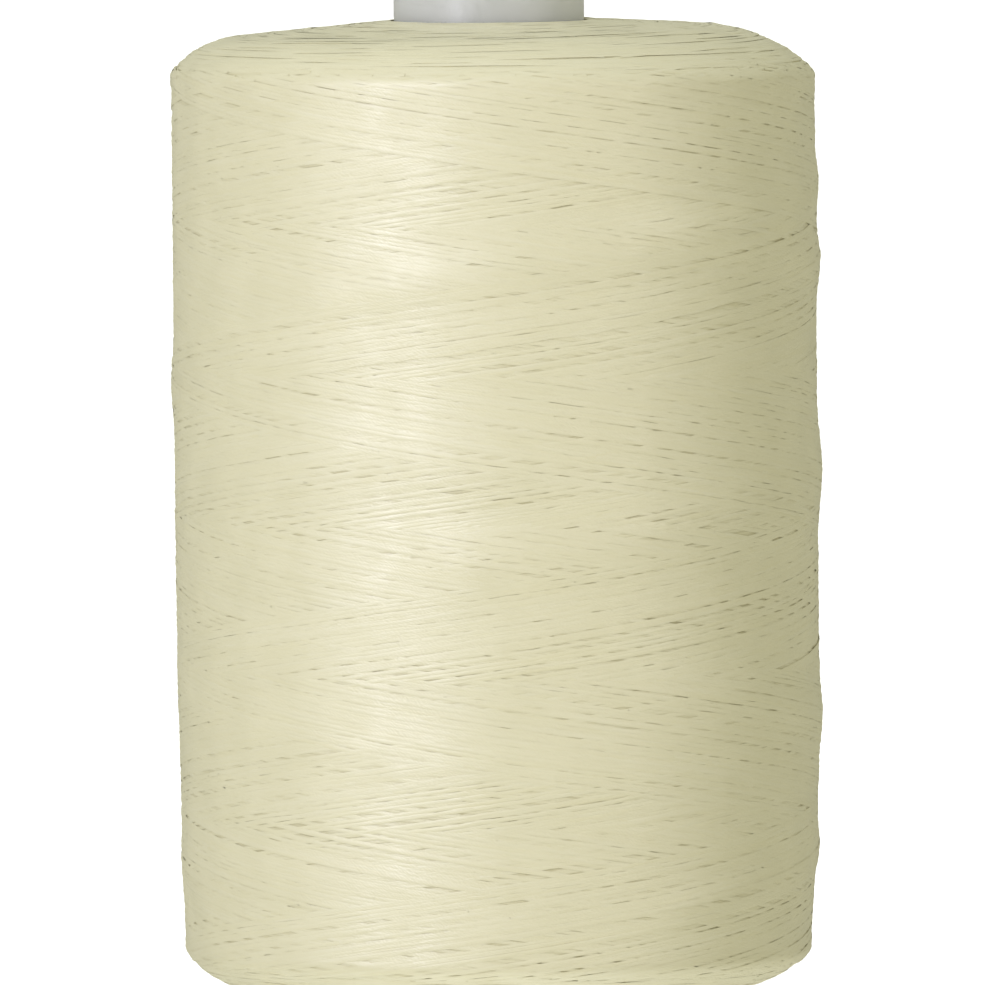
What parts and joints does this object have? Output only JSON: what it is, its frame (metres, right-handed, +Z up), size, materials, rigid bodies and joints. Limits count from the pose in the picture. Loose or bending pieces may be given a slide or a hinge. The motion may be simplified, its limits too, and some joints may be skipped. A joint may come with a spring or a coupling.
{
  "type": "spool of cotton thread",
  "caption": "Fat cylinder of cream sewing thread cross-wound on a plain hollow plastic tube that stands out at both ends.",
  "frame": {"origin": "on the axis of the tube, at its lower rim, which is the surface the spool stands on", "axes": "+Z up along the tube; -Y is the side that is seen from the front, +X to its right"},
  "size_m": [0.0574, 0.0573, 0.0964],
  "materials": {
    "thread": "soft satin cream cotton thread, slightly yellower in the gaps between turns",
    "tube_plastic": "frosted light grey plastic"
  },
  "bodies": {
    "root": {"tube": "tube_plastic", "winding": "thread"}
  },
  "joints": []
}
